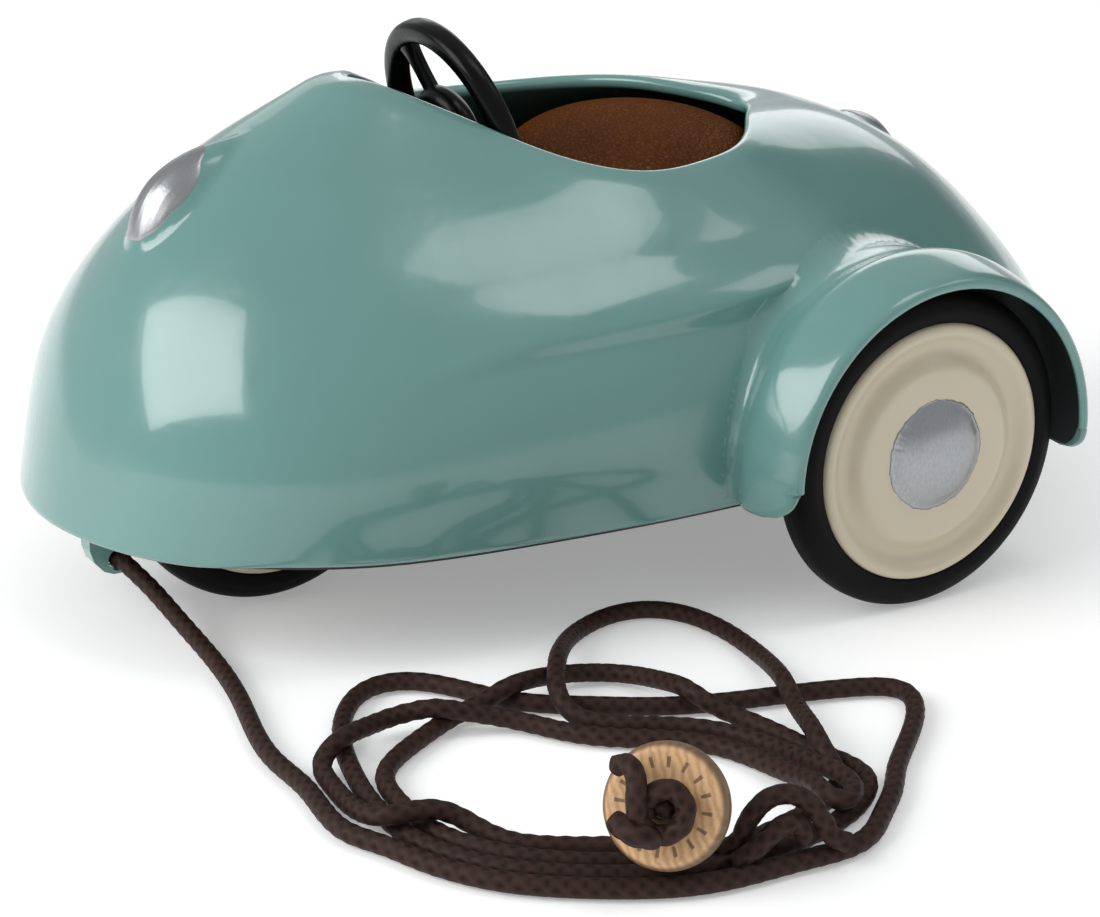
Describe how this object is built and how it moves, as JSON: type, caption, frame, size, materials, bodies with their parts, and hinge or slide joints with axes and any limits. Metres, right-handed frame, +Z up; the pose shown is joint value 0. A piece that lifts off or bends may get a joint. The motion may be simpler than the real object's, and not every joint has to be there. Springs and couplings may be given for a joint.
{
  "type": "toy pull car",
  "caption": "Streamlined open toy car with rear fenders, close-set front wheels, a padded seat, a wind-back motor and a pull cord ending in a bead.",
  "frame": {"origin": "centre of the floor pan's flat underside, on the car's mid-plane and midway between the two axles; the ground is 14 mm below it", "axes": "+Z up, nose towards -Y, driver's left towards +X"},
  "size_m": [0.1579, 0.1488, 0.0695],
  "materials": {
    "body_paint": "teal gloss enamel on pressed tinplate",
    "silver_paint": "satin silver paint, brushed by hand",
    "underside_paint": "dark satin paint",
    "seat_leather": "brown grained leather, satin",
    "black_enamel": "black gloss",
    "steel": "bright drawn steel",
    "motor_plate": "plain pressed steel",
    "spring_steel": "blued spring steel",
    "brass": "machined brass",
    "cast_block": "rough dark casting",
    "wheel_cream": "cream satin enamel",
    "tyre_rubber": "matt black rubber",
    "cord": "dark waxed braid",
    "wood": "oiled beech"
  },
  "bodies": {
    "chassis": {"body_shell": "body_paint", "left_fender": "body_paint", "right_fender": "body_paint", "tow_lug": "body_paint", "nose_lamp": "silver_paint", "tail_lamp": "silver_paint", "floor_pan": "underside_paint", "seat_pan": "underside_paint", "dash_panel": "underside_paint", "seat_cushion": "seat_leather", "floor_screws": "steel", "motor_case_left": "motor_plate", "motor_case_right": "motor_plate", "mainspring": "spring_steel", "front_bush": "brass", "rear_left_bush": "brass", "rear_right_bush": "brass", "column_bush": "brass", "front_bearing_block": "cast_block", "cord_anchor_knot": "cord"},
    "rear_axle_set": {"rear_axle": "steel", "axle_gear": "brass", "rear_left_disc": "wheel_cream", "rear_left_tyre": "tyre_rubber", "rear_left_cap": "silver_paint", "rear_right_disc": "wheel_cream", "rear_right_tyre": "tyre_rubber", "rear_right_cap": "silver_paint"},
    "idler_set": {"idler_gear": "brass", "idler_shaft": "steel"},
    "arbor_set": {"arbor_gear": "brass", "winding_arbor": "steel"},
    "front_axle_set": {"front_axle": "steel", "front_left_disc": "wheel_cream", "front_left_tyre": "tyre_rubber", "front_left_cap": "silver_paint", "front_right_disc": "wheel_cream", "front_right_tyre": "tyre_rubber", "front_right_cap": "silver_paint"},
    "steering_set": {"steering_wheel": "black_enamel", "steering_column": "steel"},
    "cord": {"pull_cord": "cord"},
    "bead": {"wooden_bead": "wood"}
  },
  "joints": [
    {"name": "rear_axle_spin", "type": "hinge", "parent": "chassis", "child": "rear_axle_set", "pos_m": [0, 0.03413, 0.0065], "axis": [1, 0, 0], "continuous": true},
    {"name": "idler_spin", "type": "hinge", "parent": "chassis", "child": "idler_set", "pos_m": [0, 0.02201, 0.0135], "axis": [1, 0, 0], "continuous": true},
    {"name": "arbor_spin", "type": "hinge", "parent": "chassis", "child": "arbor_set", "pos_m": [0, 0.008, 0.0135], "axis": [1, 0, 0], "continuous": true},
    {"name": "front_axle_spin", "type": "hinge", "parent": "chassis", "child": "front_axle_set", "pos_m": [0, -0.03413, 0.00527], "axis": [1, 0, 0], "continuous": true},
    {"name": "steering_turn", "type": "hinge", "parent": "chassis", "child": "steering_set", "pos_m": [0, -0.0027, 0.0414], "axis": [0, 0.9494, 0.314], "continuous": true},
    {"name": "cord_swing", "type": "hinge", "parent": "chassis", "child": "cord", "pos_m": [0.0027, -0.05235, -0.00718], "axis": [0, 0, 1], "range_deg": [-75, 0]},
    {"name": "bead_spin", "type": "hinge", "parent": "cord", "child": "bead", "pos_m": [0.09519, -0.03343, -0.00503], "axis": [0.5879, -0.7168, 0.3749], "continuous": true}
  ],
  "couplings": [
    {"joint": "idler_spin", "follows": "rear_axle_spin", "ratio": -0.42857},
    {"joint": "arbor_spin", "follows": "rear_axle_spin", "ratio": 0.18367}
  ]
}
